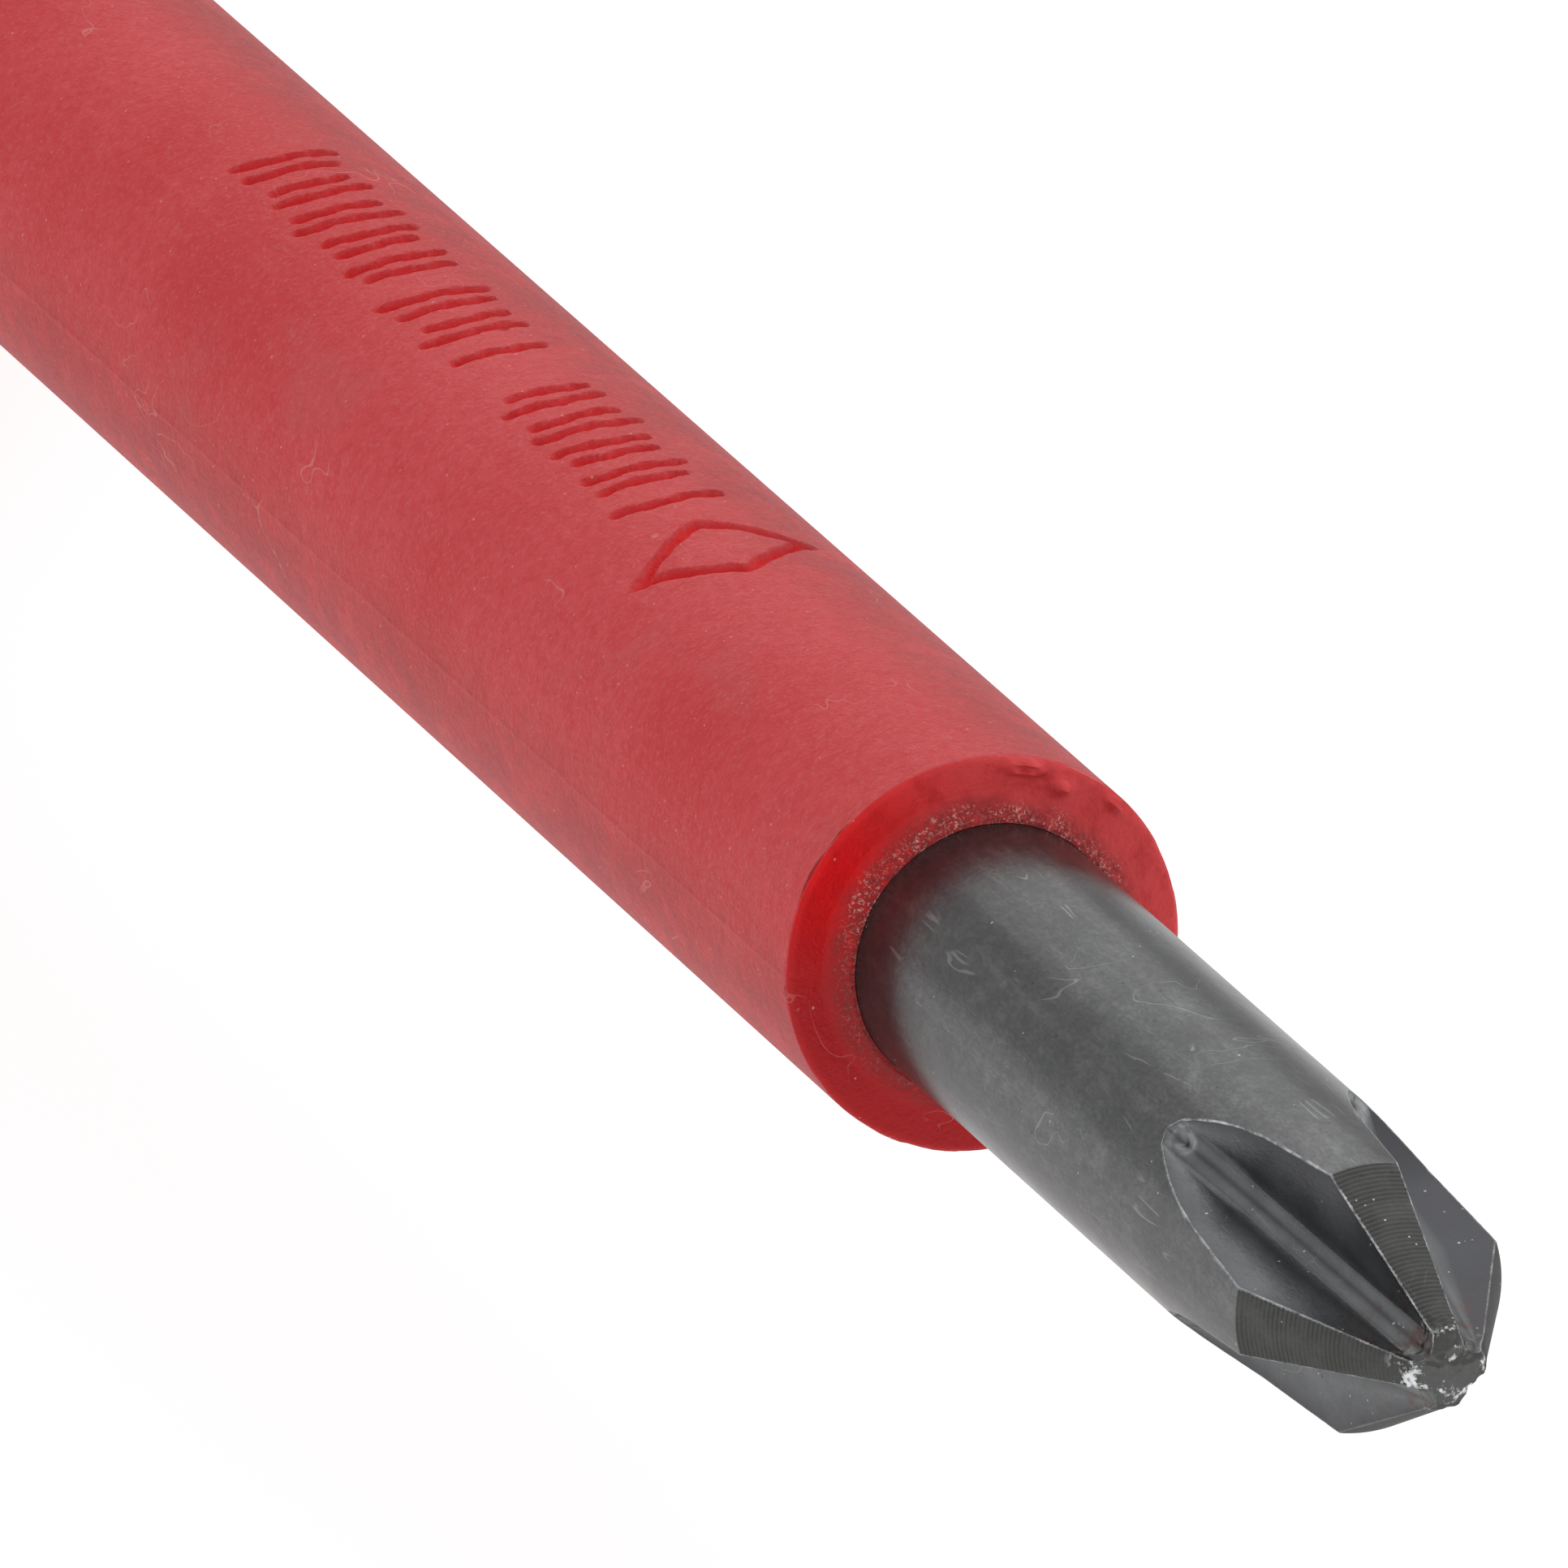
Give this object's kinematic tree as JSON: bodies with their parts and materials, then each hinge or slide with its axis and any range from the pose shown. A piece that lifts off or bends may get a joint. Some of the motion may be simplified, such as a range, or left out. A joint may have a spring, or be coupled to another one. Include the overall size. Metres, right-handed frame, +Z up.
{
  "type": "insulated screwdriver",
  "caption": "Hand screwdriver with a cross-head tip, a red insulating sleeve on its steel shank, and a two-component handle with a guard collar and a hanging hole.",
  "frame": {"origin": "on the surface that the tool lies on, under the middle of its overall length", "axes": "+X along the blade axis towards the tip, +Y across the tool, +Z up, away from the surface"},
  "size_m": [0.1852, 0.0294, 0.026],
  "materials": {
    "blackened_steel": "satin blackened tool steel with fine scratches",
    "sleeve_red": "fine matte moulded plastic",
    "core_plastic": "plain moulded plastic",
    "handle_red": "satin moulded plastic",
    "soft_grip": "matte soft-touch elastomer",
    "cap_plastic": "finely grained moulded plastic",
    "disc_plastic": "satin moulded plastic"
  },
  "bodies": {
    "root": {"blade": "blackened_steel", "blade_sleeve": "sleeve_red", "handle_core": "core_plastic", "handle_body": "handle_red", "waist_grip": "soft_grip", "grip_pad_1": "soft_grip", "grip_pad_2": "soft_grip", "grip_pad_3": "soft_grip", "grip_pad_4": "soft_grip", "grip_pad_5": "soft_grip", "grip_pad_6": "soft_grip", "end_cap": "cap_plastic", "marker_disc": "disc_plastic"}
  },
  "joints": []
}
